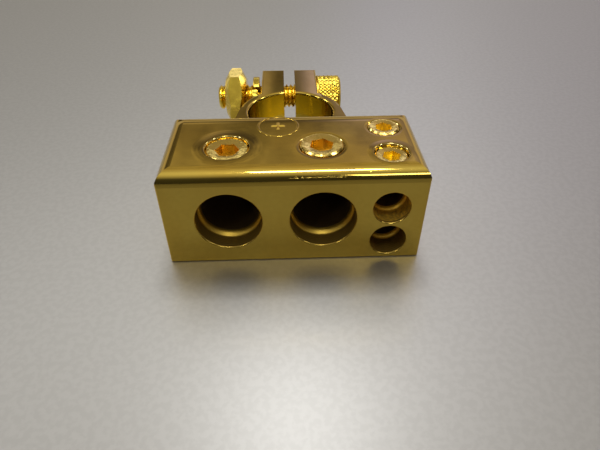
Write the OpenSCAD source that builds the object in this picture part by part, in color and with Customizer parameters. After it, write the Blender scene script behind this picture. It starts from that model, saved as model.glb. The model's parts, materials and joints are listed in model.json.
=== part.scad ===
// Battery terminal for a car: a block that takes two large and two small cables,
// and a split ring that clamps round the battery post.
// Millimetres. The origin lies on the post's axis, level with the base.
// +X points right seen from the cable side, +Y from the cable face to the clamp, +Z up.

/* [Block] */
// Width of the block along its cable face
block_w = 48; // [46:1:60]
// Depth of the block from its cable face to its rear face
block_d = 21.8; // [19:0.1:28]
// Height of the block
block_h = 20.2; // [18.5:0.1:26]
// Radius of the rounded edges round the top face
edge_r = 2.75; // [0.8:0.05:3.2]
// Radius of the block's upright corners
corner_r = 0.5; // [0.2:0.05:1.5]
// Width of the bevel round the block's base
base_bevel = 0.25; // [0.1:0.05:0.6]
// Radius of the rounded rim of each cable mouth
mouth_rim = 0.25; // [0.1:0.05:0.3]
// Radius of the hollow in which each cable mouth ends, before its shoulder
mouth_hollow = 0.6; // [0.2:0.1:0.8]

/* [Large cable bores] */
// Diameter of the bore that holds a large cable's strands
large_bore_d = 10.9; // [7:0.1:11]
// Diameter of the wider mouth that takes the cable's jacket
large_mouth_d = 12.2; // [11.2:0.1:13]
// Depth of the wider mouth
large_mouth_depth = 2.9; // [1:0.1:4]
// Length of the rounded shoulder between mouth and bore
large_shoulder = 1.5; // [1:0.1:2.5]
// Full depth of a large bore
large_bore_depth = 17.5; // [14.5:0.5:18.5]
// Height of the large bores' axes over the base
large_bore_z = 9.6; // [7.5:0.1:10.5]
// Distance of the left large bore's axis from the block's left side
large_inset = 12; // [9.5:0.1:13]
// Distance between the axes of the large bores
large_pitch = 17.3; // [14:0.1:18]

/* [Small cable bores] */
// Diameter of the bore that holds a small cable's strands
small_bore_d = 5.8; // [3:0.1:6.2]
// Diameter of the wider mouth that takes the cable's jacket
small_mouth_d = 6.8; // [6.4:0.1:7]
// Depth of the upper small bore's wider mouth
small_upper_mouth = 3.4; // [1:0.1:4]
// Depth of the lower small bore's wider mouth
small_lower_mouth = 4.2; // [1:0.1:5]
// Length of the rounded shoulder between mouth and bore
small_shoulder = 1.1; // [0.8:0.1:1.5]
// Distance of both small bores' axes from the block's right side
small_inset = 6.3; // [5:0.1:7.2]
// Height of the upper small bore's axis over the base
small_upper_z = 11.9; // [11.8:0.1:13]
// Full depth of the upper small bore
small_upper_depth = 10.8; // [9:0.1:11.2]
// Height of the lower small bore's axis over the base
small_lower_z = 4.3; // [4.1:0.1:4.4]
// Full depth of the lower small bore
small_lower_depth = 18.5; // [15.5:0.5:20]

/* [Set screws] */
// Thread diameter of the large set screws
large_screw_d = 8; // [6.5:0.5:9]
// Length of the large set screws
large_screw_len = 4.9; // [3.2:0.1:8]
// Size across flats of the large set screws' hexagon sockets
large_socket_af = 4; // [3:0.5:4.5]
// Depth of the large set screws' sockets
large_socket_depth = 2.4; // [1:0.1:2.6]
// Diameter of the countersink round the large set screws' sockets
large_socket_mouth = 6.3; // [5.4:0.1:6.8]
// Distance of the large set screws from the cable face
large_screw_setback = 8.7; // [8:0.1:10]
// Height of the left large set screw's top over the block's top
large_left_top = -0.4; // [-1:0.1:1]
// Height of the right large set screw's top over the block's top
large_right_top = 0.3; // [-1:0.1:1]
// Thread diameter of the small set screws
small_screw_d = 6; // [5.5:0.5:6.5]
// Length of the front set screw, which bears on the upper small cable
small_front_len = 4.6; // [3.2:0.1:6]
// Length of the rear set screw, which bears on the lower small cable
small_rear_len = 13; // [8:0.1:14]
// Size across flats of the small set screws' hexagon sockets
small_socket_af = 3; // [2:0.5:3.5]
// Depth of the small set screws' sockets
small_socket_depth = 2.2; // [1:0.1:2.6]
// Diameter of the countersink round the small set screws' sockets
small_socket_mouth = 4.6; // [4.2:0.1:4.8]
// Distance of the front small set screw from the cable face
small_front_setback = 5.8; // [5.5:0.1:6.4]
// Distance of the rear small set screw from the cable face
small_rear_setback = 15; // [14.8:0.1:17]
// Height of the front small set screw's top over the block's top
small_front_top = -0.6; // [-1:0.1:1]
// Height of the rear small set screw's top over the block's top
small_rear_top = 0.2; // [-1:0.1:1]
// Radius of the rounded rim of each set screw hole
hole_rim = 0.4; // [0.1:0.05:0.5]
// Radial clearance of every screw in its hole
thread_clearance = 0.05; // [0.02:0.01:0.1]

/* [Post ring] */
// Diameter of the bore that clamps round the battery post
post_bore_d = 19; // [16:0.1:21]
// Wall of the ring round the post
ring_wall = 2.2; // [2:0.1:4]
// Height of the ring
ring_h = 15.4; // [13.5:0.1:17]
// Radius of the rounded upper rim of the post bore
post_rim = 0.6; // [0.2:0.1:1]
// Radius of the ring's rounded outer top edge
ring_edge_r = 0.8; // [0.2:0.1:0.9]
// Metal between the post bore and the plane of the block's rear face
rear_web = 1.1; // [0.3:0.1:4]
// Width of the neck where it joins the block
neck_w = 27; // [25:0.5:34]

/* [Clamp lugs] */
// Width of the slot that splits the ring
slot_w = 2.75; // [1.5:0.05:4]
// Thickness of each lug beside the slot
lug_t = 5.55; // [4:0.05:6.5]
// Height of each lug, hanging from the ring's top
lug_h = 10.2; // [8.4:0.1:12.5]
// Reach of the lugs beyond the ring's outer wall
lug_reach = 11.8; // [10.5:0.1:16]
// Distance of the clamp screw's axis from the lugs' far end
lug_end = 5.1; // [4.2:0.1:6]
// Radius of the lugs' rounded far edges
lug_edge_r = 1; // [0.3:0.1:2]
// Radius of the rounded edges of the lugs' outer sides
lug_side_r = 0.5; // [0.2:0.1:1]

/* [Clamp fasteners] */
// Thread diameter of the clamp screw
clamp_d = 6; // [4:0.1:6.4]
// Length of the clamp screw under its head
clamp_len = 25; // [22.5:0.5:34]
// Diameter of the clamp screw's head
head_d = 10; // [8.5:0.1:11]
// Height of the clamp screw's head
head_h = 6; // [4:0.1:7]
// Size across flats of the clamp screw's hexagon socket
clamp_socket_af = 5; // [3:0.5:5.5]
// Depth of the clamp screw's socket
clamp_socket_depth = 3; // [1.5:0.1:3.5]
// Diameter of the countersink round the clamp screw's socket
clamp_socket_mouth = 6.6; // [6.4:0.1:8]
// Outer diameter of the spring washer
washer_d = 9.8; // [8.5:0.1:12]
// Thickness of the spring washer's wire along the screw
washer_t = 1.6; // [0.8:0.1:2]
// Step between the spring washer's two ends
washer_rise = 0.4; // [0.2:0.1:1.2]
// Width of the cut that splits the spring washer
washer_cut = 0.8; // [0.4:0.1:1.5]
// Play between the spring washer and the lug while the nut is loose
washer_play = 0.6; // [0:0.1:0.9]
// Size across flats of the clamp nut
nut_af = 12.7; // [10:0.1:14]
// Thickness of the clamp nut
nut_h = 5.2; // [4.2:0.1:6]
// Diameter of the flat round face at each end of the nut
nut_face_d = 9.4; // [8:0.1:9.8]
// Distance that the nut still has to travel to meet the washer
nut_gap = 1.4; // [0.5:0.1:2]

/* [Hidden] */
$fn = 96;

// Corner-to-corner size of a hexagon over its size across flats
HEX = 1 / cos(30);
// Overrun of every cut past the face that it opens
CUT = 1;
// Place of the neck's upper corners: inside the ring's outer wall, and past the post's axis
neck_inset = 0.4;
neck_rise = 2;
// Bevel at the ends of the screws
screw_bevel = 0.5;
// Depth and width of the hollow in a set screw's tip, as shares of its diameter
cup_depth_share = 0.12;
cup_width_share = 0.55;
// Bevel at both ends of the nut's thread
nut_countersink = 0.4;
// Slope of the countersink round each hexagon socket
socket_slope = 30;
// Slope of the nut's bevelled ends
nut_bevel_angle = 30;
// Turn of the nut about the clamp screw
nut_turn = 35;
// Radial clearance of the washer on the screw
washer_clearance = 0.1;
// Place of the washer's cut, from the cable side up towards the top
washer_cut_angle = 49;
// Turn of each socket about its screw's axis
socket_turn_left = 0;
socket_turn_right = 18;
socket_turn_front = 10;
socket_turn_rear = 25;
socket_turn_clamp = 15;

post_r = post_bore_d / 2;
ring_r = post_r + ring_wall;
block_rear_y = -post_r - rear_web;
block_front_y = block_rear_y - block_d;
block_mid_y = block_front_y + block_d / 2;
large_left_x = large_inset - block_w / 2;
large_right_x = large_left_x + large_pitch;
small_x = block_w / 2 - small_inset;

lug_far_y = ring_r + lug_reach;
lug_x = slot_w / 2 + lug_t;
clamp_y = lug_far_y - lug_end;
clamp_z = ring_h - lug_h / 2;

washer_r_in = clamp_d / 2 + washer_clearance;
washer_right_x = -lug_x - washer_play;
washer_left_x = washer_right_x - washer_t - washer_rise;
nut_right_x = washer_left_x - nut_gap;

gold = "#d4a32c";
bright_gold = "#e6bd3a";

// A section with four rounded corners
module rounded_section(w, low, high, r) {
    translate([-w / 2, low + r]) square([w, high - low - 2 * r]);
    translate([-w / 2 + r, low]) square([w - 2 * r, high - low]);
    for (side = [-1, 1]) for (z = [low + r, high - r])
        translate([side * (w / 2 - r), z]) circle(r);
}

// A section that stands on a bevelled base, with both upper corners rounded
module rounded_top_section(w, h, r) {
    polygon([
        [base_bevel - w / 2, 0],
        [w / 2 - base_bevel, 0],
        [w / 2, base_bevel],
        [w / 2, h - r],
        [-w / 2, h - r],
        [-w / 2, base_bevel]
    ]);
    translate([-w / 2 + r, base_bevel]) square([w - 2 * r, h - base_bevel]);
    for (side = [-1, 1]) translate([side * (w / 2 - r), h - r]) circle(r);
}

// The block, whose rounded top edges meet in mitred corners
module block() {
    translate([0, block_mid_y, 0]) intersection() {
        rotate([90, 0, 0])
            linear_extrude(block_d, center = true) rounded_top_section(block_w, block_h, edge_r);
        rotate([90, 0, 90])
            linear_extrude(block_w, center = true) rounded_top_section(block_d, block_h, edge_r);
        linear_extrude(block_h) rounded_section(block_w, -block_d / 2, block_d / 2, corner_r);
    }
}

// A cut that rounds the rim of a hole of radius r, which runs up from its face at height 0
module rounded_rim(r, rim) {
    rotate_extrude() difference() {
        translate([r - CUT, -CUT]) square([CUT + rim, CUT + rim]);
        translate([r + rim, rim]) circle(rim);
    }
}

// A blind cable bore, cut into the cable face. Its wider mouth ends in a hollow,
// which a rounded shoulder leads on to the bore.
module cable_bore(x, z, bore_d, mouth_d, mouth_depth, shoulder, depth) {
    step = (mouth_d - bore_d) / 2;
    slope = 2 * atan(step / shoulder);
    shoulder_r = shoulder / sin(slope) - mouth_hollow;
    hollow_x = mouth_d / 2 - mouth_hollow;
    bore_start = mouth_depth + shoulder;
    translate([x, block_front_y, z]) rotate([-90, 0, 0]) {
        rotate_extrude() difference() {
            union() {
                polygon([
                    [0, -CUT],
                    [mouth_d / 2, -CUT],
                    [mouth_d / 2, mouth_depth],
                    [hollow_x + mouth_hollow * cos(slope), mouth_depth + mouth_hollow * sin(slope)],
                    [bore_d / 2, bore_start],
                    [bore_d / 2, depth],
                    [0, depth]
                ]);
                translate([hollow_x, mouth_depth]) circle(mouth_hollow);
            }
            translate([bore_d / 2 + shoulder_r, bore_start]) circle(shoulder_r);
        }
        rounded_rim(mouth_d / 2, mouth_rim);
    }
}

// A hole for a set screw, from the top down to the axis of a cable bore, with a rounded rim
module set_screw_hole(x, setback, d, bottom_z) {
    r = d / 2 + thread_clearance;
    translate([x, block_front_y + setback, block_h]) mirror([0, 0, 1]) {
        translate([0, 0, -CUT]) cylinder(r = r, h = block_h - bottom_z + CUT);
        rounded_rim(r, hole_rim);
    }
}

// The outline of both lugs seen along the clamp screw, with rounded far edges
module lug_section() {
    low_z = ring_h - lug_h;
    translate([0, low_z]) square([lug_far_y - lug_edge_r, lug_h]);
    translate([0, low_z + lug_edge_r]) square([lug_far_y, lug_h - 2 * lug_edge_r]);
    for (z = [low_z + lug_edge_r, ring_h - lug_edge_r])
        translate([lug_far_y - lug_edge_r, z]) circle(lug_edge_r);
}

// The neck, which widens from the ring's wall to the block
module neck_section() {
    root_y = block_rear_y - CUT;
    polygon([
        [neck_inset - ring_r, neck_rise],
        [-neck_w / 2, block_rear_y],
        [-neck_w / 2, root_y],
        [neck_w / 2, root_y],
        [neck_w / 2, block_rear_y],
        [ring_r - neck_inset, neck_rise]
    ]);
}

// The ring round the post with the neck and lugs, before it is bored and slit
module ring_blank() {
    rotate_extrude() {
        square([ring_r, ring_h - ring_edge_r]);
        square([ring_r - ring_edge_r, ring_h]);
        translate([ring_r - ring_edge_r, ring_h - ring_edge_r]) circle(ring_edge_r);
    }
    linear_extrude(ring_h) neck_section();
    intersection() {
        rotate([90, 0, 90]) linear_extrude(2 * lug_x, center = true) lug_section();
        translate([0, lug_far_y, 0]) rotate([90, 0, 0])
            linear_extrude(lug_far_y) rounded_section(2 * lug_x, ring_h - lug_h, ring_h, lug_side_r);
    }
}

// The bore for the battery post, with a rounded upper rim
module post_bore() {
    translate([0, 0, -CUT]) cylinder(r = post_r, h = ring_h + 2 * CUT);
    translate([0, 0, ring_h]) mirror([0, 0, 1]) rounded_rim(post_r, post_rim);
}

module terminal_body() {
    color(gold) difference() {
        union() {
            block();
            ring_blank();
        }
        for (x = [large_left_x, large_right_x]) {
            cable_bore(x, large_bore_z, large_bore_d, large_mouth_d,
                large_mouth_depth, large_shoulder, large_bore_depth);
            set_screw_hole(x, large_screw_setback, large_screw_d, large_bore_z);
        }
        cable_bore(small_x, small_upper_z, small_bore_d, small_mouth_d,
            small_upper_mouth, small_shoulder, small_upper_depth);
        cable_bore(small_x, small_lower_z, small_bore_d, small_mouth_d,
            small_lower_mouth, small_shoulder, small_lower_depth);
        set_screw_hole(small_x, small_front_setback, small_screw_d, small_upper_z);
        set_screw_hole(small_x, small_rear_setback, small_screw_d, small_lower_z);
        post_bore();
        translate([-slot_w / 2, 0, -CUT]) cube([slot_w, lug_far_y + CUT, ring_h + 2 * CUT]);
        translate([0, clamp_y, clamp_z]) rotate([0, 90, 0])
            cylinder(r = clamp_d / 2 + thread_clearance, h = 2 * (lug_x + CUT), center = true);
    }
}

// A countersunk hexagon socket, sunk from height 0
module hexagon_socket(af, depth, mouth_d) {
    sink = (mouth_d - af) / 2 * tan(socket_slope);
    translate([0, 0, -depth]) cylinder(r = af / 2 * HEX, h = depth + CUT, $fn = 6);
    translate([0, 0, -sink])
        cylinder(r1 = af / 2, r2 = mouth_d / 2 + CUT / tan(socket_slope), h = sink + CUT);
}

// A headless screw hanging down from its top, with a hexagon socket and a cupped tip
module set_screw(d, len, af, socket_depth, socket_mouth, turn) {
    color(bright_gold) difference() {
        rotate_extrude() polygon([
            [0, 0],
            [d / 2 - screw_bevel, 0],
            [d / 2, -screw_bevel],
            [d / 2, screw_bevel - len],
            [d / 2 - screw_bevel, -len],
            [d / 2 * cup_width_share, -len],
            [0, d * cup_depth_share - len]
        ]);
        rotate(turn) hexagon_socket(af, socket_depth, socket_mouth);
    }
}

// A large set screw over the cable bore at x
module large_set_screw(x, top, turn) {
    translate([x, block_front_y + large_screw_setback, block_h + top])
        set_screw(large_screw_d, large_screw_len, large_socket_af, large_socket_depth,
            large_socket_mouth, turn);
}

// A small set screw at a distance from the cable face
module small_set_screw(setback, top, len, turn) {
    translate([small_x, block_front_y + setback, block_h + top])
        set_screw(small_screw_d, len, small_socket_af, small_socket_depth,
            small_socket_mouth, turn);
}

module large_set_screw_left() {
    large_set_screw(large_left_x, large_left_top, socket_turn_left);
}

module large_set_screw_right() {
    large_set_screw(large_right_x, large_right_top, socket_turn_right);
}

module small_set_screw_front() {
    small_set_screw(small_front_setback, small_front_top, small_front_len, socket_turn_front);
}

module small_set_screw_rear() {
    small_set_screw(small_rear_setback, small_rear_top, small_rear_len, socket_turn_rear);
}

// The cap screw lies along X through both lugs, with its head on the right
module clamp_screw() {
    color(bright_gold) translate([lug_x, clamp_y, clamp_z]) rotate([0, 90, 0]) difference() {
        rotate_extrude() polygon([
            [0, -clamp_len],
            [clamp_d / 2 - screw_bevel, -clamp_len],
            [clamp_d / 2, screw_bevel - clamp_len],
            [clamp_d / 2, 0],
            [head_d / 2, 0],
            [head_d / 2, head_h - screw_bevel],
            [head_d / 2 - screw_bevel, head_h],
            [0, head_h]
        ]);
        translate([0, 0, head_h]) rotate(socket_turn_clamp)
            hexagon_socket(clamp_socket_af, clamp_socket_depth, clamp_socket_mouth);
    }
}

// Corners of the washer's wire at a share t of its coil, which starts beside the lug
function washer_ring(t) =
    let (
        open = asin(washer_cut / washer_d),
        a = washer_cut_angle + open + t * (360 - 2 * open),
        x = washer_right_x - t * washer_rise
    )
    [for (corner = [[0, washer_r_in], [0, washer_d / 2],
                    [-washer_t, washer_d / 2], [-washer_t, washer_r_in]])
        [x + corner[0], clamp_y - corner[1] * cos(a), clamp_z + corner[1] * sin(a)]];

// The spring washer is one turn of flat wire that climbs from the lug towards the nut
module spring_washer() {
    corners = 4;
    last = $fn * corners;
    points = [for (i = [0 : $fn]) each washer_ring(i / $fn)];
    sides = [for (i = [0 : $fn - 1]) for (k = [0 : corners - 1])
        [i * corners + k, i * corners + (k + 1) % corners,
         (i + 1) * corners + (k + 1) % corners, (i + 1) * corners + k]];
    ends = [[3, 2, 1, 0], [last, last + 1, last + 2, last + 3]];
    color(bright_gold) polyhedron(points, concat(sides, ends));
}

// The hexagon nut, whose corners slope away to a round face at both ends
module clamp_nut() {
    nut_r = nut_af / 2 * HEX;
    thread_r = clamp_d / 2 + thread_clearance;
    bevel_h = (nut_r - nut_face_d / 2) * tan(nut_bevel_angle);
    color(bright_gold) translate([nut_right_x, clamp_y, clamp_z]) rotate([0, -90, 0]) difference() {
        intersection() {
            rotate(nut_turn) cylinder(r = nut_r, h = nut_h, $fn = 6);
            rotate_extrude() polygon([
                [0, 0],
                [nut_face_d / 2, 0],
                [nut_r, bevel_h],
                [nut_r, nut_h - bevel_h],
                [nut_face_d / 2, nut_h],
                [0, nut_h]
            ]);
        }
        rotate_extrude() polygon([
            [0, -CUT],
            [thread_r + nut_countersink + CUT, -CUT],
            [thread_r, nut_countersink],
            [thread_r, nut_h - nut_countersink],
            [thread_r + nut_countersink + CUT, nut_h + CUT],
            [0, nut_h + CUT]
        ]);
    }
}

terminal_body();
large_set_screw_left();
large_set_screw_right();
small_set_screw_front();
small_set_screw_rear();
clamp_screw();
spring_washer();
clamp_nut();
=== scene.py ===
"""Looks of a gold-plated battery terminal, standing on a pale table under soft studio light."""
import json
import math
from collections import namedtuple

import bpy
from mathutils import Matrix, Vector


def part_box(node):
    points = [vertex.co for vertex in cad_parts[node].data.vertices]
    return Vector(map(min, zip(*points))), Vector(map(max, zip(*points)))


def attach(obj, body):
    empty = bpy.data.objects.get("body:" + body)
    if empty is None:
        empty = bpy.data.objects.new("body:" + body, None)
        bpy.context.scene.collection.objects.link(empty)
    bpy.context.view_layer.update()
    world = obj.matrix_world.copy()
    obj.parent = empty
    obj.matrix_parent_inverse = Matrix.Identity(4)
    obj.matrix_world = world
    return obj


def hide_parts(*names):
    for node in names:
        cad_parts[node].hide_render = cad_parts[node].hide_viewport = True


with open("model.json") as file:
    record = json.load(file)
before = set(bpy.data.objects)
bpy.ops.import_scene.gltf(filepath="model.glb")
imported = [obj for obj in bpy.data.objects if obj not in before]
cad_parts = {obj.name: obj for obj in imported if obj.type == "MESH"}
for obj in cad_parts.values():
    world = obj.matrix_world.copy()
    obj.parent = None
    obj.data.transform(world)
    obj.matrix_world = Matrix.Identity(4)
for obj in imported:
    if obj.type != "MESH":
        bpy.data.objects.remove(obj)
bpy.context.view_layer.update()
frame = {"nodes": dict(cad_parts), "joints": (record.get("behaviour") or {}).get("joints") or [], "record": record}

MM = 0.001
TURN = 2 * math.pi


def rgb(r, g, b):
    """A colour as the nodes' sockets take it."""
    return (r, g, b, 1.0)


# Camera of the photograph
CAMERA_PLACE = Vector((-1.175, -101.825, 66.239)) * MM
CAMERA_PITCH = math.radians(39.702)
CAMERA_YAW = math.radians(1.792)
CAMERA_ROLL = math.radians(0.272)
CAMERA_LENS = 29.454
CAMERA_SENSOR = 36
CAMERA_NEAR = 0.005
CAMERA_FAR = 20

# Sizes of the casting that the frame doesn't state
EDGE_R = 2.75 * MM
REAR_WEB = 1.1 * MM
SHOULDERS = {"large": 1.5 * MM, "small": 1.1 * MM}

# Points round each turned piece, and the angles in degrees above which an edge stays sharp
SIDES = 192
SHARP_ANGLE = 32
WASHER_SHARP_ANGLE = 40
RING_SHARP_ANGLE = 60
PLUS_SHARP_ANGLE = 20

# Threads
LARGE_PITCH = 1.25 * MM
SMALL_PITCH = 1.0 * MM
CLAMP_PITCH = 1.0 * MM
THREAD_SHARE = 0.55
THREAD_FLANK = 1.25
SET_SCREW_STEPS = 12
CLAMP_STEPS = 10

# Hexagon sockets, bevels and cupped tips of the screws
Socket = namedtuple("Socket", "across_flats depth mouth")
LARGE_SOCKET = Socket(4.0 * MM, 2.4 * MM, 6.3 * MM)
SMALL_SOCKET = Socket(3.0 * MM, 2.2 * MM, 4.6 * MM)
CLAMP_SOCKET = Socket(5.0 * MM, 3.0 * MM, 6.6 * MM)
SOCKET_TURN = {
    "large_set_screw_left": 0,
    "large_set_screw_right": 18,
    "small_set_screw_front": 10,
    "small_set_screw_rear": 25,
    "clamp_screw": 15,
}
SOCKET_SLOPE = math.radians(14)
DRILL_SHARE = 0.36
DRILL_DEPTH = 0.3 * MM
SCREW_BEVEL = 0.5 * MM
TOP_BEVEL = 0.3 * MM
CUP_SHARE = 0.55
CUP_DEPTH_SHARE = 0.12
# Rings of a socket from the foot of its countersink down
SOCKET_RINGS = 3

# Clamp screw and the knurl of its head
CLAMP_R = 3.0 * MM
CLAMP_HEAD_R = 5.0 * MM
CLAMP_HEAD_H = 6.0 * MM
HEAD_BEVEL = 0.15 * MM
KNURL_COUNT = 40
KNURL_PITCH = 1.0 * MM
KNURL_DEPTH = 0.28 * MM
KNURL_START = 0.35 * MM
KNURL_FADE = 0.25 * MM
KNURL_STEPS = 10

# Spring washer
WASHER_IN = 3.1 * MM
WASHER_OUT = 4.9 * MM
WASHER_T = 1.6 * MM
WASHER_RISE = 0.4 * MM
WASHER_CUT = 0.8 * MM
WASHER_CUT_ANGLE = math.radians(49)
WASHER_ROUND = 0.22 * MM
WASHER_STEPS = 96
CORNER_STEPS = 3

# Polarity mark on the block's top
MARK_CENTRE = Vector((-2.67, -16.2)) * MM
MARK_RING_R = 3.85 * MM
MARK_LINE_W = 0.5 * MM
MARK_RISE = 0.12 * MM
MARK_SINK = 0.02 * MM
MARK_AROUND = 128
MARK_ACROSS = 8
PLUS_REACH = 1.4 * MM
PLUS_HALF_W = 0.34 * MM
PLUS_RISE = 2 * MARK_RISE

# Gold finishes: two tints, roughness, and the distances of the waviness and of small dents
FINISHES = {
    "casting_gold": (rgb(0.90, 0.64, 0.12), rgb(0.85, 0.58, 0.10), 0.075, 0.03 * MM, 0.0),
    "screw_gold": (rgb(0.93, 0.71, 0.20), rgb(0.86, 0.62, 0.15), 0.13, 0.008 * MM, 0.09 * MM),
    "clamp_gold": (rgb(0.95, 0.71, 0.10), rgb(0.90, 0.64, 0.08), 0.2, 0.006 * MM, 0.0),
    "deep_gold": (rgb(0.84, 0.59, 0.11), rgb(0.73, 0.48, 0.08), 0.3, 0.008 * MM, 0.04 * MM),
    "amber_gold": (rgb(0.97, 0.77, 0.15), rgb(0.92, 0.70, 0.11), 0.3, 0.008 * MM, 0.04 * MM),
}

# Noise of the gold's surface: scale and detail
SWELL_NOISE = (160, 1.0)
DENT_NOISE = (1100, 2.0)
SCRATCH_NOISE = (2600, 2.0)
SCRATCH_STRETCH = (0.12, 1.0, 1.0)
SCRATCH_HEIGHT = 0.0012 * MM

# Grains: a noise's scale and detail, and the band of its values that is spread out
TINT_GRAIN = (90, 2.0, 0.35, 0.65)
HAZE_GRAIN = (420, 3.0, 0.3, 0.7)
NICK_GRAIN = (2400, 2.0, 0.4, 0.6)
MATT_GRAIN = (1800, 2.0, 0.35, 0.65)
MOUTH_GRAIN = (1600, 3.0, 0.42, 0.58)
TABLE_GRAIN = (900, 3.0, 0.4, 0.6)
HAZE_LEAST = 0.6
HAZE_MOST = 1.5

# Cable bores: limits of their zones, colours with painted shade, and roughness
BORE_MARGIN = 0.1 * MM
BORE_FADE = 0.15 * MM
MOUTH_MARGIN = 0.8 * MM
RIM_START = 0.03 * MM
MOUTH_FADE = 0.15 * MM
# Painted shade: the metal past each bore's shoulder is painted dark for the shade of the bore's depth
BORE_PAINTED_SHADE = rgb(0.2, 0.13, 0.05)
BORE_ROUGH = 0.6
# Painted shade: the shoulders inside the bore mouths are painted darker to dim their highlights
SHOULDER_PAINTED_SHADE = rgb(0.62, 0.42, 0.07)
SHOULDER_ROUGH = 0.46
# Painted shade: the mouth walls of the bores are painted darker for the shade inside them
MOUTH_PAINTED_SHADE = rgb(0.46, 0.30, 0.06)
MOUTH_ROUGH = (0.18, 0.4)
TURNING_PITCH = 0.5 * MM
TURNING_HEIGHT = 0.012 * MM
MATT_REACH = {"small_cable_upper": 4 * MM, "small_cable_lower": 1.1 * MM}
MATT_GOLD = rgb(0.9, 0.56, 0.06)
MATT_SHARE = 0.3
MATT_LEAST = 0.45

# Set-screw holes: how far the dish round each reaches, its rise and the strength of its halo of painted shade
HOLE_DISHES = {
    "large_set_screw_left": (2.6 * MM, 0.13 * MM, 0.7),
    "large_set_screw_right": (1.0 * MM, -0.06 * MM, 0.3),
    "small_set_screw_front": (1.6 * MM, 0.08 * MM, 0.5),
    "small_set_screw_rear": (0.8 * MM, -0.05 * MM, 0.25),
}
HOLE_MARGIN = 0.2 * MM
# Painted highlight: the set-screw hole walls and rims are painted a paler gold to look bright
HOLE_PAINTED_HIGHLIGHT = rgb(0.95, 0.80, 0.35)
# Painted shade: the dark halo round each set-screw hole
HALO_PAINTED_SHADE = rgb(0.26, 0.165, 0.025)
RIPPLE_LENGTH = 0.8 * MM
RIPPLE_HEIGHT = 0.005 * MM
TOP_FADE = 0.6 * MM

# Fine reliefs of the block's edges and the lugs; a curve is a height over a squared distance
REAR_MARGIN = 1.6 * MM
REAR_CURVE = 55
LUG_CROWN = 11
CROWN_REACH = 7.5 * MM
CREASE_REACH = 0.8 * MM
CREASE_SLOPE = 0.2
NICK_HEIGHT = 0.024 * MM
# Each nick's span along the front edge in mm, and round it in degrees from the top
EDGE_NICKS = (
    (-9.85, -9.65, 36, 56),
    (-1.0, 1.6, 61.5, 64),
    (0.3, 0.5, 55, 66),
    (1.4, 1.6, 55, 66),
    (1.6, 9.0, 60.5, 63),
    (5.9, 6.1, 50, 63),
    (8.8, 9.0, 48, 62),
    (13.2, 13.35, 40, 58),
)

# Painted light and shade of the post bore: its lit gold and its painted shade, where it darkens towards the right
# and the top, and the share of lit gold left
POST_PAINTED_LIGHT = rgb(0.96, 0.76, 0.13)
POST_PAINTED_SHADE = rgb(0.12, 0.08, 0.01)
SHADE_RIGHT = (-3 * MM, 4 * MM)
SHADE_RIGHT_SHARE = 0.6
SHADE_HIGH = (9 * MM, 14 * MM)
SHADE_HIGH_SHARE = 0.65
SHADE_REAR = 4 * MM

# Table
TABLE_HALF = 2.0
TABLE_LIGHT = rgb(0.54, 0.538, 0.525)
TABLE_DARK = rgb(0.51, 0.508, 0.495)
TABLE_METALLIC = 0.6
TABLE_ROUGH = 0.42

# Lamps over the table: azimuth and elevation in degrees, width, depth, power, distance
TABLE_LAMPS = {
    "table_spot": (2, 73, 0.055, 0.11, 0.3, 0.4),
    "table_panel": (-30, 50, 1.3, 0.42, 1.35, 0.6),
    "table_fill": (50, 60, 0.3, 0.3, 0.16, 0.6),
}
RING_LAMP_HEIGHT = 0.4
RING_LAMP_POWER = 3.5
RING_LAMP_BLEND = 0.2
RING_LAMP_R = 0.01

# Lamps that show in the gold: azimuth, elevation, half width and half height in degrees, level
LAMP_DISTANCE = 1.2
PART_LAMPS = {
    "front_high": (170, 68, 8, 4, 12.0),
    "front_low": (164, 31, 6, 4, 3.5),
    "right": (107, 40, 5, 5, 8.0),
    "left": (253, 40, 5, 5, 8.0),
    "back_right": (56, 36, 5, 5, 6.0),
    "back_left": (304, 36, 5, 5, 6.0),
    "front_left": (222, 36, 4, 4, 7.0),
}
FASTENER_LAMPS = {
    "behind": (0, 25, 25, 5, 0.6),
    "right_wide": (105, 42, 12, 10, 2.5),
    "left_wide": (255, 42, 12, 10, 3.0),
}
SCREW_LAMPS = {
    "overhead": (175, 72, 22, 12, 1.7),
}
CLAMP_LAMPS = {
    "clamp_top": (180, 88, 25, 9, 3.2),
    "clamp_low": (192, 36, 14, 6, 2.2),
}
NUT_LAMPS = {
    "nut_left": (305, 3, 15, 8, 3.5),
    "nut_right": (46, 4, 12, 8, 3.5),
    "nut_back": (354, 12, 6, 4, 0.9),
}

# Room: sine of the elevation and brightness there, in front of the object and behind it
FRONT_TINT = (1.0, 0.96, 0.88)
FRONT_LEVELS = ((0.0, 0.03), (0.52, 0.035), (0.68, 0.17), (0.85, 0.28), (1.0, 0.34))
BACK_TINT = (1.0, 0.85, 0.62)
BACK_LEVELS = (
    (0.0, 0.4), (0.18, 0.38), (0.27, 0.06), (0.36, 0.08), (0.42, 0.08),
    (0.46, 0.1), (0.475, 0.12), (0.51, 0.25), (1.0, 0.34),
)
# Half width of the turn from front to back, and how much lighter the right side is
ROOM_TURN = 0.2
ROOM_RIGHT_SHARE = 0.05
# Faint patches behind the object: a grain, its strength and the heights where it fades in
ROOM_PATCHES = (24, 2.0, 0.3, 0.7)
ROOM_PATCH_SHARE = 0.85
ROOM_PATCH_START = 0.3
ROOM_PATCH_FULL = 0.4
# Soft glows in the room: azimuth, elevation and half width in degrees, level, tint
ROOM_GLOWS = (
    (180, 68, 20, 0.35, (1.0, 0.95, 0.8)),
    (32, 30, 14, 0.26, (1.0, 0.85, 1.4)),
    (11, 22, 4, 0.3, (1.0, 0.9, 2.2)),
    (349, 22, 4, 0.26, (1.0, 0.85, 0.7)),
)

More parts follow.
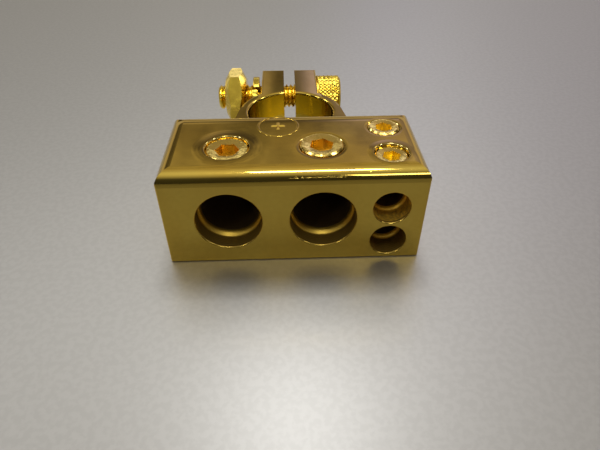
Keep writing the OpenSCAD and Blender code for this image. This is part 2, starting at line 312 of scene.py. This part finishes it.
# Places that the frame states
nodes = frame["nodes"]
mounts = {mount["name"]: mount for mount in frame["record"]["mounts"]}
cable_mounts = {name: mount for name, mount in mounts.items() if "_cable_" in name}
body_low, body_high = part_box("terminal_body")
block_front = body_low.y
block_top = body_high.z
post_r = mounts["battery_post"]["dims"]["r_mm"] * MM
block_rear = -post_r - REAR_WEB
clamp_axis = Vector(next(j["pos_m"] for j in frame["joints"] if j["name"] == "clamp_turn"))


# Shader building blocks

class Nodes:
    """A node tree with short ways to add and join nodes, laid out in one coordinate."""

    def __init__(self, tree, coordinate):
        self.tree = tree
        self.place = self.add("ShaderNodeTexCoord").outputs[coordinate]

    def add(self, kind, **settings):
        node = self.tree.nodes.new(kind)
        for key, value in settings.items():
            setattr(node, key, value)
        return node

    def join(self, source, target):
        """Link a socket to the target, or set the target to a plain value."""
        if isinstance(source, bpy.types.NodeSocket):
            self.tree.links.new(source, target)
        else:
            target.default_value = source

    def axes(self):
        node = self.add("ShaderNodeSeparateXYZ")
        self.join(self.place, node.inputs[0])
        return tuple(node.outputs)

    def stretched(self, scale):
        node = self.add("ShaderNodeMapping")
        self.join(scale, node.inputs["Scale"])
        self.join(self.place, node.inputs["Vector"])
        return node.outputs["Vector"]

    def math(self, operation, a, b=0.0, c=0.0):
        node = self.add("ShaderNodeMath", operation=operation)
        for source, target in zip((a, b, c), node.inputs):
            self.join(source, target)
        return node.outputs[0]

    def chain(self, operation, terms):
        """One operation over all the terms in turn."""
        result, *rest = terms
        for term in rest:
            result = self.math(operation, result, term)
        return result

    def sum(self, *terms):
        return self.chain("ADD", terms)

    def product(self, *terms):
        return self.chain("MULTIPLY", terms)

    def most(self, *terms):
        return self.chain("MAXIMUM", terms)

    def minus(self, a, b):
        return self.math("SUBTRACT", a, b)

    def below(self, value, limit):
        return self.math("LESS_THAN", value, limit)

    def above(self, value, limit):
        return self.math("GREATER_THAN", value, limit)

    def clip(self, value, high):
        """The value, kept between 0 and high."""
        return self.math("MINIMUM", self.most(value, 0.0), high)

    def span(self, a, b):
        """Length of a line that goes a one way and b across it."""
        return self.math("SQRT", self.sum(self.product(a, a), self.product(b, b)))

    def scaled(self, vector, factor):
        node = self.add("ShaderNodeVectorMath", operation="SCALE")
        self.join(vector, node.inputs[0])
        self.join(factor, node.inputs["Scale"])
        return node.outputs[0]

    def noise(self, scale, detail, vector=None):
        node = self.add("ShaderNodeTexNoise")
        self.join(scale, node.inputs["Scale"])
        self.join(detail, node.inputs["Detail"])
        self.join(vector or self.place, node.inputs["Vector"])
        return node.outputs["Fac"]

    def ramp(self, value, low, high, out_low=0.0, out_high=1.0, kind="SMOOTHSTEP"):
        """The value's range from low to high, carried over to the range from out_low to out_high."""
        node = self.add("ShaderNodeMapRange", interpolation_type=kind)
        limits = {"From Min": low, "From Max": high, "To Min": out_low, "To Max": out_high}
        for key, limit in limits.items():
            self.join(limit, node.inputs[key])
        self.join(value, node.inputs["Value"])
        return node.outputs["Result"]

    def grain(self, grain, out_low=0.0, out_high=1.0, kind="SMOOTHSTEP"):
        scale, detail, low, high = grain
        return self.ramp(self.noise(scale, detail), low, high, out_low, out_high, kind)

    def mix(self, share, a, b):
        node = self.add("ShaderNodeMix", data_type="RGBA")
        self.join(share, node.inputs["Factor"])
        self.join(a, node.inputs["A"])
        self.join(b, node.inputs["B"])
        return node.outputs["Result"]

    def bump(self, height, normal=None, distance=1.0):
        """A normal tilted by a relief; heights are in metres where the distance is 1."""
        node = self.add("ShaderNodeBump")
        self.join(1.0, node.inputs["Strength"])
        self.join(distance, node.inputs["Distance"])
        self.join(height, node.inputs["Height"])
        if normal is not None:
            self.join(normal, node.inputs["Normal"])
        return node.outputs["Normal"]


class Shader(Nodes):
    """A material of one surface shader, laid out in the object's own coordinates."""

    def __init__(self, name):
        self.material = bpy.data.materials.new(name)
        self.material.use_nodes = True
        super().__init__(self.material.node_tree, "Object")
        self.bsdf = self.tree.nodes["Principled BSDF"]

    def give(self, socket, source):
        self.join(source, self.bsdf.inputs[socket])

    def given(self, socket):
        """What is linked to one of the shader's sockets so far."""
        return self.bsdf.inputs[socket].links[0].from_socket


def gold_plate(name):
    """Gold plate: a slow change of tint, faint haze, the waviness of polishing, dents and scratches."""
    tint, shade, rough, wave, dent = FINISHES[name]
    s = Shader(name)
    s.give("Metallic", 1.0)
    s.give("Base Color", s.mix(s.grain(TINT_GRAIN), tint, shade))
    s.give("Roughness", s.grain(HAZE_GRAIN, rough * HAZE_LEAST, rough * HAZE_MOST))
    normal = s.bump(s.noise(*SWELL_NOISE), distance=wave)
    if dent:
        normal = s.bump(s.noise(*DENT_NOISE), normal, dent)
    scratches = s.noise(*SCRATCH_NOISE, s.stretched(SCRATCH_STRETCH))
    s.give("Normal", s.bump(scratches, normal, SCRATCH_HEIGHT))
    return s


# Casting's material

def bore_masks(s, x, y, z):
    """Where metal lies past a bore's shoulder, on the shoulder or on a mouth's wall, or is matt; the first three
    take painted shade.
    """
    inside = on_shoulder = in_mouth = matt = 0.0
    past_face = s.ramp(y, block_front + RIM_START, block_front + MOUTH_FADE)
    before_end = s.below(y, block_rear)
    for name, mount in cable_mounts.items():
        place = Vector(mount["pos_m"])
        radius = mount["dims"]["r_mm"] * MM
        wall_end = place.y - SHOULDERS[name.split("_")[0]]
        distance = s.span(s.minus(x, place.x), s.minus(z, place.z))
        near = s.below(distance, radius + BORE_MARGIN)
        wide = s.below(distance, radius + MOUTH_MARGIN)
        deep = s.ramp(y, place.y - BORE_FADE, place.y + BORE_FADE)
        on_wall = s.ramp(y, wall_end - BORE_FADE, wall_end + BORE_FADE, 1.0, 0.0)
        sloped = s.product(wide, past_face, s.below(y, place.y))
        inside = s.most(inside, s.product(near, deep, before_end))
        on_shoulder = s.most(on_shoulder, sloped)
        in_mouth = s.most(in_mouth, s.product(wide, past_face, on_wall))
        if name in MATT_REACH:
            start = place.y - MATT_REACH[name]
            past_start = s.ramp(y, start - BORE_FADE, start + BORE_FADE)
            matt = s.most(matt, s.product(past_start, sloped))
    return inside, on_shoulder, in_mouth, matt


def hole_marks(s, x, y):
    """Round the set-screw holes: the dished relief, the holes themselves and a dark halo of painted shade."""
    relief = in_hole = halo = 0.0
    for node, (reach, rise, share) in HOLE_DISHES.items():
        low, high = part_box(node)
        centre = (low + high) / 2
        radius = (high.x - low.x) / 2
        distance = s.span(s.minus(x, centre.x), s.minus(y, centre.y))
        dish = s.ramp(distance, radius, radius + reach, rise, 0.0)
        wave = s.math("COSINE", s.product(distance, TURN / RIPPLE_LENGTH))
        ripple = s.product(wave, s.ramp(distance, radius, radius + reach, RIPPLE_HEIGHT, 0.0))
        relief = s.sum(relief, dish, ripple)
        in_hole = s.most(in_hole, s.below(distance, radius + HOLE_MARGIN))
        halo = s.most(halo, s.ramp(distance, radius + HOLE_MARGIN, radius + reach, share, 0.0))
    return relief, in_hole, halo


def rear_margin(s, y):
    """The curved margin along the top's rear edge."""
    past = s.clip(s.minus(y, block_rear - EDGE_R - REAR_MARGIN), REAR_MARGIN)
    return s.product(past, past, -REAR_CURVE)


def edge_crease(s, z):
    """The sharper lower end of the edge's rounding."""
    up = s.clip(s.minus(z, block_top - EDGE_R), CREASE_REACH)
    curve = s.product(up, up, CREASE_SLOPE / 2 / CREASE_REACH)
    return s.minus(curve, s.product(up, CREASE_SLOPE))


def lug_crown(s, x, y):
    """The slight crown of the lugs' tops."""
    from_middle = s.math("MINIMUM", s.math("ABSOLUTE", x), CROWN_REACH)
    return s.product(from_middle, from_middle, -LUG_CROWN, s.above(y, block_rear))


def edge_nicks(s, x, y, z):
    """Fine scratches and ticks on the rounded front edge."""
    back = s.minus(block_front + EDGE_R, y)
    up = s.minus(z, block_top - EDGE_R)
    round_edge = s.math("ARCTAN2", back, up)
    height = 0.0
    for x_low, x_high, angle_low, angle_high in EDGE_NICKS:
        along = s.product(s.above(x, x_low * MM), s.below(x, x_high * MM))
        middle = math.radians((angle_low + angle_high) / 2)
        reach = math.radians((angle_high - angle_low) / 2)
        off = s.math("ABSOLUTE", s.minus(round_edge, middle))
        height = s.most(height, s.product(along, s.ramp(off, 0.0, reach, NICK_HEIGHT, 0.0)))
    return s.product(height, s.grain(NICK_GRAIN))


def post_painted_light_and_shade(s, x, y, z, plate):
    """The plate's colour, but in the post bore a paler gold as painted light, painted darker behind towards the
    right and the top as painted shade.
    """
    less_right = s.ramp(x, *SHADE_RIGHT, 1.0, SHADE_RIGHT_SHARE)
    less_high = s.ramp(z, *SHADE_HIGH, 1.0, SHADE_HIGH_SHARE)
    at_rear = s.ramp(y, 0.0, SHADE_REAR)
    dark = s.product(at_rear, s.minus(1.0, s.product(less_right, less_high)))
    wall = s.mix(dark, POST_PAINTED_LIGHT, POST_PAINTED_SHADE)
    return s.mix(s.below(s.span(x, y), post_r + BORE_MARGIN), plate, wall)


def casting_material():
    """The casting's plate with its fine reliefs, painted shade round the holes with a painted highlight on their
    walls, painted light and shade in the post bore, and dull metal with painted shade in the bores and their
    mouths.
    """
    s = gold_plate("casting_gold")
    x, y, z = s.axes()
    inside, on_shoulder, in_mouth, matt = bore_masks(s, x, y, z)
    dishes, in_hole, halo = hole_marks(s, x, y)
    on_top = s.ramp(z, block_top - TOP_FADE, block_top)

    relief = s.product(s.sum(rear_margin(s, y), dishes), on_top)
    shape = s.sum(relief, edge_crease(s, z), lug_crown(s, x, y))
    turned = s.math("COSINE", s.product(y, TURN / TURNING_PITCH))
    turning_marks = s.product(turned, TURNING_HEIGHT, in_mouth)
    normal = s.given("Normal")
    for height in (shape, edge_nicks(s, x, y, z), turning_marks):
        normal = s.bump(height, normal)
    s.give("Normal", normal)

    # The post bore's wall gets painted light, with painted shade towards the right and the top
    post_lit_and_shaded = post_painted_light_and_shade(s, x, y, z, s.given("Base Color"))
    # The top darkens round the holes as painted shade
    dimmed = s.mix(s.product(halo, on_top), post_lit_and_shaded, HALO_PAINTED_SHADE)
    # The set-screw holes get a paler gold as a painted highlight
    pale = s.mix(in_hole, dimmed, HOLE_PAINTED_HIGHLIGHT)
    # Mouth walls and shoulders get darker colours as painted shade
    shaded = s.mix(in_mouth, s.mix(on_shoulder, pale, SHOULDER_PAINTED_SHADE), MOUTH_PAINTED_SHADE)
    speckled = s.product(matt, s.grain(MATT_GRAIN, MATT_LEAST, 1.0))
    matt_and_painted_light = s.mix(speckled, shaded, MATT_GOLD)
    # Past the shoulders the bores get painted shade
    s.give("Base Color", s.mix(inside, matt_and_painted_light, BORE_PAINTED_SHADE))
    s.give("Metallic", s.minus(1.0, s.product(speckled, MATT_SHARE)))

    satin = s.product(on_shoulder, SHOULDER_ROUGH)
    mottled = s.product(in_mouth, s.grain(MOUTH_GRAIN, *MOUTH_ROUGH))
    dull = s.product(inside, BORE_ROUGH)
    s.give("Roughness", s.most(s.given("Roughness"), satin, mottled, dull))
    return s.material


casting_gold = casting_material()
screw_gold = gold_plate("screw_gold").material
clamp_gold = gold_plate("clamp_gold").material
deep_gold = gold_plate("deep_gold").material
amber_gold = gold_plate("amber_gold").material


# Mesh building blocks

def shaped_ring(radius_at, height):
    """One ring of points round the local axis, whose radius depends on the angle and height."""
    points = []
    for i in range(SIDES):
        a = i * TURN / SIDES
        r = radius_at(a, height)
        points.append((r * math.cos(a), r * math.sin(a), height))
    return points


def circle(radius, height):
    """One round ring of points."""
    return shaped_ring(lambda a, z: radius, height)


def zigzag(x):
    """A straight wave from 0 at whole numbers to 1 halfway between them."""
    return 1 - abs(2 * (x % 1.0) - 1)


def hexagon_radius(across_flats, turn):
    """Radius of a hexagon's outline, with a corner at the angle turn."""
    sixth = TURN / 6
    return lambda a, z: across_flats / 2 / math.cos((a - turn) % sixth - sixth / 2)


def thread_radius(major, pitch, low, high):
    """Radius of a right-hand thread that runs out at both ends."""
    depth = THREAD_SHARE * pitch

    def radius_at(a, z):
        groove = min(1.0, THREAD_FLANK * zigzag(z / pitch - a / TURN))
        fade = min(1.0, (z - low) / pitch, (high - z) / pitch)
        return major - depth * groove * max(0.0, fade)
    return radius_at


def knurl_radius(outer, low, high):
    """Radius of a diamond knurl: pyramids where two crossing sets of ridges meet."""

    def radius_at(a, z):
        around = KNURL_COUNT * a / TURN
        along = z / KNURL_PITCH
        peak = min(zigzag(around + along), zigzag(around - along))
        fade = min(1.0, (z - low) / KNURL_FADE, (high - z) / KNURL_FADE)
        return outer - KNURL_DEPTH * (1 - peak) * max(0.0, fade)
    return radius_at


def spread(low, high, step):
    """Heights from low to high, about one step apart."""
    count = max(1, round((high - low) / step))
    return [low + (high - low) * i / count for i in range(count + 1)]


def add_mesh(name, points, faces, material, sharp_angle=SHARP_ANGLE):
    """A mesh object, smooth apart from the edges that turn by more than the sharp angle."""
    mesh = bpy.data.meshes.new(name)
    mesh.from_pydata(points, [], faces)
    mesh.validate()
    mesh.shade_smooth()
    mesh.set_sharp_from_angle(angle=math.radians(sharp_angle))
    mesh.materials.append(material)
    piece = bpy.data.objects.new(name, mesh)
    bpy.context.scene.collection.objects.link(piece)
    return piece


def ring_stack(name, rings, material, socket_finish, placing):
    """A closed solid from a stack of rings, with a point at each end and a socket in its last rings."""
    start, *middle, end = rings
    points = [start]
    faces = []
    finishes = []
    socket_start = len(middle) - SOCKET_RINGS
    for ring in middle:
        points.extend(ring)
    points.append(end)
    for i in range(SIDES):
        j = (i + 1) % SIDES
        faces.append((0, 1 + j, 1 + i))
        finishes.append(0)
        for k in range(len(middle) - 1):
            base = 1 + k * SIDES
            faces.append((base + i, base + j, base + SIDES + j, base + SIDES + i))
            finishes.append(int(k >= socket_start))
        base = 1 + (len(middle) - 1) * SIDES
        faces.append((base + i, base + j, len(points) - 1))
        finishes.append(1)
    placed = [placing @ Vector(p) for p in points]
    piece = add_mesh(name, placed, faces, material)
    piece.data.materials.append(socket_finish)
    piece.data.polygons.foreach_set("material_index", finishes)
    return piece


def socket_rings(socket, top, turn):
    """Rings of a hexagon socket from its countersink down to its drilled floor."""
    mouth_r = socket.mouth / 2
    floor = top - socket.depth
    outline = hexagon_radius(socket.across_flats, turn)
    sunk = []
    for x, y, z in shaped_ring(outline, top):
        drop = (mouth_r - math.hypot(x, y)) * math.tan(SOCKET_SLOPE)
        sunk.append((x, y, z - drop))
    return [
        circle(mouth_r, top),
        sunk,
        shaped_ring(outline, floor),
        circle(socket.across_flats * DRILL_SHARE, floor),
        (0, 0, floor - DRILL_DEPTH),
    ]


# Set screws

def set_screw(node, pitch, socket, socket_finish):
    """A headless screw with its thread, cupped tip and hexagon socket."""
    low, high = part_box(node)
    centre = (low + high) / 2
    length = high.z - low.z
    radius = (high.x - low.x) / 2
    body_bottom = SCREW_BEVEL - length
    thread = thread_radius(radius, pitch, body_bottom, -TOP_BEVEL)
    rings = [(0, 0, 2 * radius * CUP_DEPTH_SHARE - length)]
    rings.append(circle(radius * CUP_SHARE, -length))
    rings.append(circle(radius - SCREW_BEVEL, -length))
    for z in spread(body_bottom, -TOP_BEVEL, pitch / SET_SCREW_STEPS):
        rings.append(shaped_ring(thread, z))
    rings.append(circle(radius - TOP_BEVEL, 0))
    rings.extend(socket_rings(socket, 0, math.radians(SOCKET_TURN[node])))
    placing = Matrix.Translation((centre.x, centre.y, high.z))
    piece = ring_stack(node + "_threaded", rings, screw_gold, socket_finish, placing)
    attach(piece, node)
    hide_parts(node)


for screw in ("large_set_screw_left", "large_set_screw_right"):
    set_screw(screw, LARGE_PITCH, LARGE_SOCKET, deep_gold)
for screw in ("small_set_screw_front", "small_set_screw_rear"):
    set_screw(screw, SMALL_PITCH, SMALL_SOCKET, amber_gold)


# Clamp screw

def clamp_screw():
    """The cap screw with its thread, knurled head and hexagon socket."""
    low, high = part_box("clamp_screw")
    seat_x = high.x - CLAMP_HEAD_H
    tip = low.x - seat_x
    thread = thread_radius(CLAMP_R, CLAMP_PITCH, tip + SCREW_BEVEL, 0)
    knurl_end = CLAMP_HEAD_H - SCREW_BEVEL
    knurl = knurl_radius(CLAMP_HEAD_R, KNURL_START, knurl_end)
    rings = [(0, 0, tip), circle(CLAMP_R - SCREW_BEVEL, tip)]
    for z in spread(tip + SCREW_BEVEL, 0, CLAMP_PITCH / CLAMP_STEPS):
        rings.append(shaped_ring(thread, z))
    rings.append(circle(CLAMP_HEAD_R - HEAD_BEVEL, 0))
    for z in spread(HEAD_BEVEL, knurl_end, KNURL_PITCH / KNURL_STEPS):
        rings.append(shaped_ring(knurl, z))
    rings.append(circle(CLAMP_HEAD_R - SCREW_BEVEL, CLAMP_HEAD_H))
    turn = math.radians(SOCKET_TURN["clamp_screw"])
    rings.extend(socket_rings(CLAMP_SOCKET, CLAMP_HEAD_H, turn))
    seat = Matrix.Translation((seat_x, clamp_axis.y, clamp_axis.z))
    placing = seat @ Matrix.Rotation(math.pi / 2, 4, "Y")
    piece = ring_stack("clamp_screw_threaded", rings, clamp_gold, deep_gold, placing)
    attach(piece, "clamp_screw")
    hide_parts("clamp_screw")


clamp_screw()


# Spring washer

def rounded_section(inner, outer, thickness, rounding):
    """Outline of the washer's wire as (radius, drop along the screw) pairs, corners rounded."""
    outline = []
    corners = (
        (outer - rounding, rounding, -90),
        (outer - rounding, thickness - rounding, 0),
        (inner + rounding, thickness - rounding, 90),
        (inner + rounding, rounding, 180),
    )
    for radius, drop, start in corners:
        for k in range(CORNER_STEPS + 1):
            a = math.radians(start + 90 * k / CORNER_STEPS)
            outline.append((radius + rounding * math.cos(a), drop + rounding * math.sin(a)))
    return outline


def spring_washer():
    """One turn of rounded wire that climbs from the lug towards the nut."""
    _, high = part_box("spring_washer")
    section = rounded_section(WASHER_IN, WASHER_OUT, WASHER_T, WASHER_ROUND)
    opening = math.asin(WASHER_CUT / 2 / WASHER_OUT)
    points = []
    for i in range(WASHER_STEPS + 1):
        t = i / WASHER_STEPS
        a = WASHER_CUT_ANGLE + opening + t * (TURN - 2 * opening)
        for radius, drop in section:
            x = high.x - t * WASHER_RISE - drop
            y = clamp_axis.y - radius * math.cos(a)
            z = clamp_axis.z + radius * math.sin(a)
            points.append((x, y, z))
    n = len(section)
    faces = [tuple(range(n)), tuple(WASHER_STEPS * n + k for k in reversed(range(n)))]
    for i in range(WASHER_STEPS):
        for k in range(n):
            m = (k + 1) % n
            faces.append((i * n + k, (i + 1) * n + k, (i + 1) * n + m, i * n + m))
    piece = add_mesh("spring_washer_coil", points, faces, clamp_gold, WASHER_SHARP_ANGLE)
    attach(piece, "clamp_screw")
    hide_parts("spring_washer")


spring_washer()


# Polarity mark

def top_height(y):
    """Height of the block's top at y, with the rounded rear edge."""
    past = max(0.0, y - (block_rear - EDGE_R))
    return block_top - EDGE_R + math.sqrt(max(0.0, EDGE_R ** 2 - past ** 2))


def polarity_ring():
    """A raised line round the plus sign, rounded in section."""
    points = []
    for i in range(MARK_AROUND):
        a = i * TURN / MARK_AROUND
        for k in range(MARK_ACROSS + 1):
            b = math.pi * k / MARK_ACROSS
            r = MARK_RING_R - MARK_LINE_W / 2 * math.cos(b)
            x = MARK_CENTRE.x + r * math.cos(a)
            y = MARK_CENTRE.y + r * math.sin(a)
            points.append((x, y, top_height(y) - MARK_SINK + MARK_RISE * math.sin(b)))
    faces = []
    n = MARK_ACROSS + 1
    for i in range(MARK_AROUND):
        j = (i + 1) % MARK_AROUND
        for k in range(MARK_ACROSS):
            faces.append((i * n + k, j * n + k, j * n + k + 1, i * n + k + 1))
        faces.append((i * n + MARK_ACROSS, j * n + MARK_ACROSS, j * n, i * n))
    return add_mesh("polarity_ring", points, faces, casting_gold, RING_SHARP_ANGLE)


def plus_sign():
    """A raised plus sign whose arms are roofs with sloping ends."""
    reach = PLUS_REACH
    half = PLUS_HALF_W
    arm = ((reach, -half), (reach, half), (half, half))
    outline = []
    crest = []
    for quarter in range(4):
        turn = Matrix.Rotation(quarter * math.pi / 2, 2)
        for corner in arm:
            outline.append(turn @ Vector(corner))
        crest.append(turn @ Vector((reach - half, 0)))
    crest.append(Vector((0, 0)))
    base = block_top - MARK_SINK
    points = [(*(MARK_CENTRE + p), base) for p in outline]
    points += [(*(MARK_CENTRE + p), base + PLUS_RISE) for p in crest]
    hub = len(points) - 1
    n = len(outline)
    faces = [tuple(reversed(range(n)))]
    for quarter in range(4):
        right = len(arm) * quarter
        left = right + 1
        inner = right + 2
        before = (right - 1) % n
        top = n + quarter
        faces.append((right, left, top))
        faces.append((left, inner, hub, top))
        faces.append((before, right, top, hub))
    return add_mesh("polarity_plus", points, faces, casting_gold, PLUS_SHARP_ANGLE)


for mark in (polarity_ring(), plus_sign()):
    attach(mark, "terminal")


# Finish of the nodes that keep their own solids

def finish_node(name, material):
    mesh = nodes[name].data
    mesh.materials.clear()
    mesh.materials.append(material)


finish_node("terminal_body", casting_gold)
finish_node("clamp_nut", clamp_gold)


# Table

def table_material():
    """Pale grey with a fine speckle and a dull sheen."""
    s = Shader("table_grey")
    s.give("Base Color", s.mix(s.grain(TABLE_GRAIN), TABLE_LIGHT, TABLE_DARK))
    s.give("Metallic", TABLE_METALLIC)
    s.give("Roughness", TABLE_ROUGH)
    return s.material


def table():
    half = TABLE_HALF
    points = [(-half, -half, 0), (half, -half, 0), (half, half, 0), (-half, half, 0)]
    top = add_mesh("table", points, [(0, 1, 2, 3)], table_material())
    return top


table_top = table()


# Lamps

def direction(azimuth, elevation):
    """A way out from the object; azimuth 0 is straight behind it, 90 to its right."""
    a = math.radians(azimuth)
    e = math.radians(elevation)
    return Vector((math.sin(a) * math.cos(e), math.cos(a) * math.cos(e), math.sin(e)))


def lit_by(lamps, pieces):
    """The collection of pieces that one set of lamps lights."""
    group = bpy.data.collections.new("lit_by_" + lamps)
    for piece in pieces:
        group.objects.link(piece)
    return group


def soft_box(name, azimuth, elevation, width, depth, power, distance, receivers):
    """A soft box that lights one collection only."""
    way = direction(azimuth, elevation)
    data = bpy.data.lights.new(name, "AREA")
    data.shape = "RECTANGLE"
    data.size = width
    data.size_y = depth
    data.energy = power
    lamp = bpy.data.objects.new(name, data)
    lamp.location = way * distance
    lamp.rotation_mode = "QUATERNION"
    lamp.rotation_quaternion = (-way).to_track_quat("-Z", "Y")
    bpy.context.scene.collection.objects.link(lamp)
    lamp.light_linking.receiver_collection = receivers


def room_lamp(name, azimuth, elevation, half_width, half_height, level, receivers):
    """A soft box given by the angles that it fills and its brightness."""
    width = 2 * LAMP_DISTANCE * math.tan(math.radians(half_width))
    height = 2 * LAMP_DISTANCE * math.tan(math.radians(half_height))
    power = level * math.pi * width * height
    soft_box("lamp_" + name, azimuth, elevation, width, height, power, LAMP_DISTANCE, receivers)


def ring_lamp(receivers):
    """A narrow lamp over the post bore that lights the table inside it."""
    data = bpy.data.lights.new("ring_lamp", "SPOT")
    data.energy = RING_LAMP_POWER
    data.spot_size = 2 * math.atan(post_r / RING_LAMP_HEIGHT)
    data.spot_blend = RING_LAMP_BLEND
    data.shadow_soft_size = RING_LAMP_R
    lamp = bpy.data.objects.new("ring_lamp", data)
    lamp.location = (0, 0, RING_LAMP_HEIGHT)
    bpy.context.scene.collection.objects.link(lamp)
    lamp.light_linking.receiver_collection = receivers


def has_finish(piece, *finishes):
    return any(material in finishes for material in piece.data.materials)


part_pieces = [o for o in bpy.context.scene.objects if o.type == "MESH" and o != table_top]
fasteners = [piece for piece in part_pieces if has_finish(piece, screw_gold, clamp_gold)]
clamp_nut = nodes["clamp_nut"]
screws_and_washer = [piece for piece in fasteners if piece != clamp_nut]
clamp_and_washer = [piece for piece in screws_and_washer if has_finish(piece, clamp_gold)]
lit_by_table_lamps = lit_by("table_lamps", [table_top])
LAMP_SETS = (
    (PART_LAMPS, lit_by("part_lamps", part_pieces)),
    (FASTENER_LAMPS, lit_by("fastener_lamps", fasteners)),
    (SCREW_LAMPS, lit_by("screw_lamps", screws_and_washer)),
    (CLAMP_LAMPS, lit_by("clamp_lamps", clamp_and_washer)),
    (NUT_LAMPS, lit_by("nut_lamps", [clamp_nut])),
)
for name, numbers in TABLE_LAMPS.items():
    soft_box(name, *numbers, lit_by_table_lamps)
for lamps, receivers in LAMP_SETS:
    for name, numbers in lamps.items():
        room_lamp(name, *numbers, receivers)
ring_lamp(lit_by_table_lamps)


# Room

def level_ramp(s, height, levels, tint):
    """The room's brightness against the height of the direction looked in."""
    ramp = s.add("ShaderNodeValToRGB")
    s.join(height, ramp.inputs[0])
    stops = ramp.color_ramp.elements
    stops.remove(stops[1])
    first, *rest = [(place, rgb(*(Vector(tint) * level))) for place, level in levels]
    stops[0].position, stops[0].color = first
    for place, colour in rest:
        stops.new(place).color = colour
    return ramp.outputs[0]


def add_glow(s, light, azimuth, elevation, half_width, level, tint):
    """The room's light with a soft glow added, half as strong at half_width from its middle."""
    facing = s.add("ShaderNodeVectorMath", operation="DOT_PRODUCT")
    s.join(s.place, facing.inputs[0])
    s.join(direction(azimuth, elevation), facing.inputs[1])
    falloff = -math.log(2) / math.log(math.cos(math.radians(half_width)))
    glow = s.math("POWER", s.most(facing.outputs["Value"], 0.0), falloff)
    total = s.add("ShaderNodeVectorMath", operation="MULTIPLY_ADD")
    s.join(glow, total.inputs[0])
    s.join(Vector(tint) * level, total.inputs[1])
    s.join(light, total.inputs[2])
    return total.outputs[0]


def room_light():
    """A dim room: dark near the horizon, lighter overhead and on the right, with soft glows."""
    world = bpy.data.worlds.new("room")
    bpy.context.scene.world = world
    world.use_nodes = True
    s = Nodes(world.node_tree, "Generated")
    x, y, z = s.axes()
    front = level_ramp(s, z, FRONT_LEVELS, FRONT_TINT)
    swing = s.grain(ROOM_PATCHES, -ROOM_PATCH_SHARE / 2, ROOM_PATCH_SHARE / 2, "LINEAR")
    aloft = s.ramp(z, ROOM_PATCH_START, ROOM_PATCH_FULL, kind="LINEAR")
    patches = s.math("MULTIPLY_ADD", aloft, swing, 1.0)
    back = s.scaled(level_ramp(s, z, BACK_LEVELS, BACK_TINT), patches)
    behind = s.ramp(y, -ROOM_TURN, ROOM_TURN, kind="LINEAR")
    walls = s.mix(behind, front, back)
    light = s.scaled(walls, s.math("MULTIPLY_ADD", x, ROOM_RIGHT_SHARE, 1.0))
    for glow in ROOM_GLOWS:
        light = add_glow(s, light, *glow)
    s.join(light, s.tree.nodes["Background"].inputs["Color"])


room_light()


# Camera

def camera():
    data = bpy.data.cameras.new("camera")
    data.sensor_width = CAMERA_SENSOR
    data.lens = CAMERA_LENS
    data.clip_start = CAMERA_NEAR
    data.clip_end = CAMERA_FAR
    eye = bpy.data.objects.new("camera", data)
    pitch = Matrix.Rotation(math.pi / 2 - CAMERA_PITCH, 4, "X")
    yaw = Matrix.Rotation(-CAMERA_YAW, 4, "Z")
    roll = Matrix.Rotation(-CAMERA_ROLL, 4, "Z")
    eye.matrix_world = Matrix.Translation(CAMERA_PLACE) @ yaw @ pitch @ roll
    bpy.context.scene.collection.objects.link(eye)
    bpy.context.scene.camera = eye


camera()
bpy.context.scene.view_settings.view_transform = "Standard"
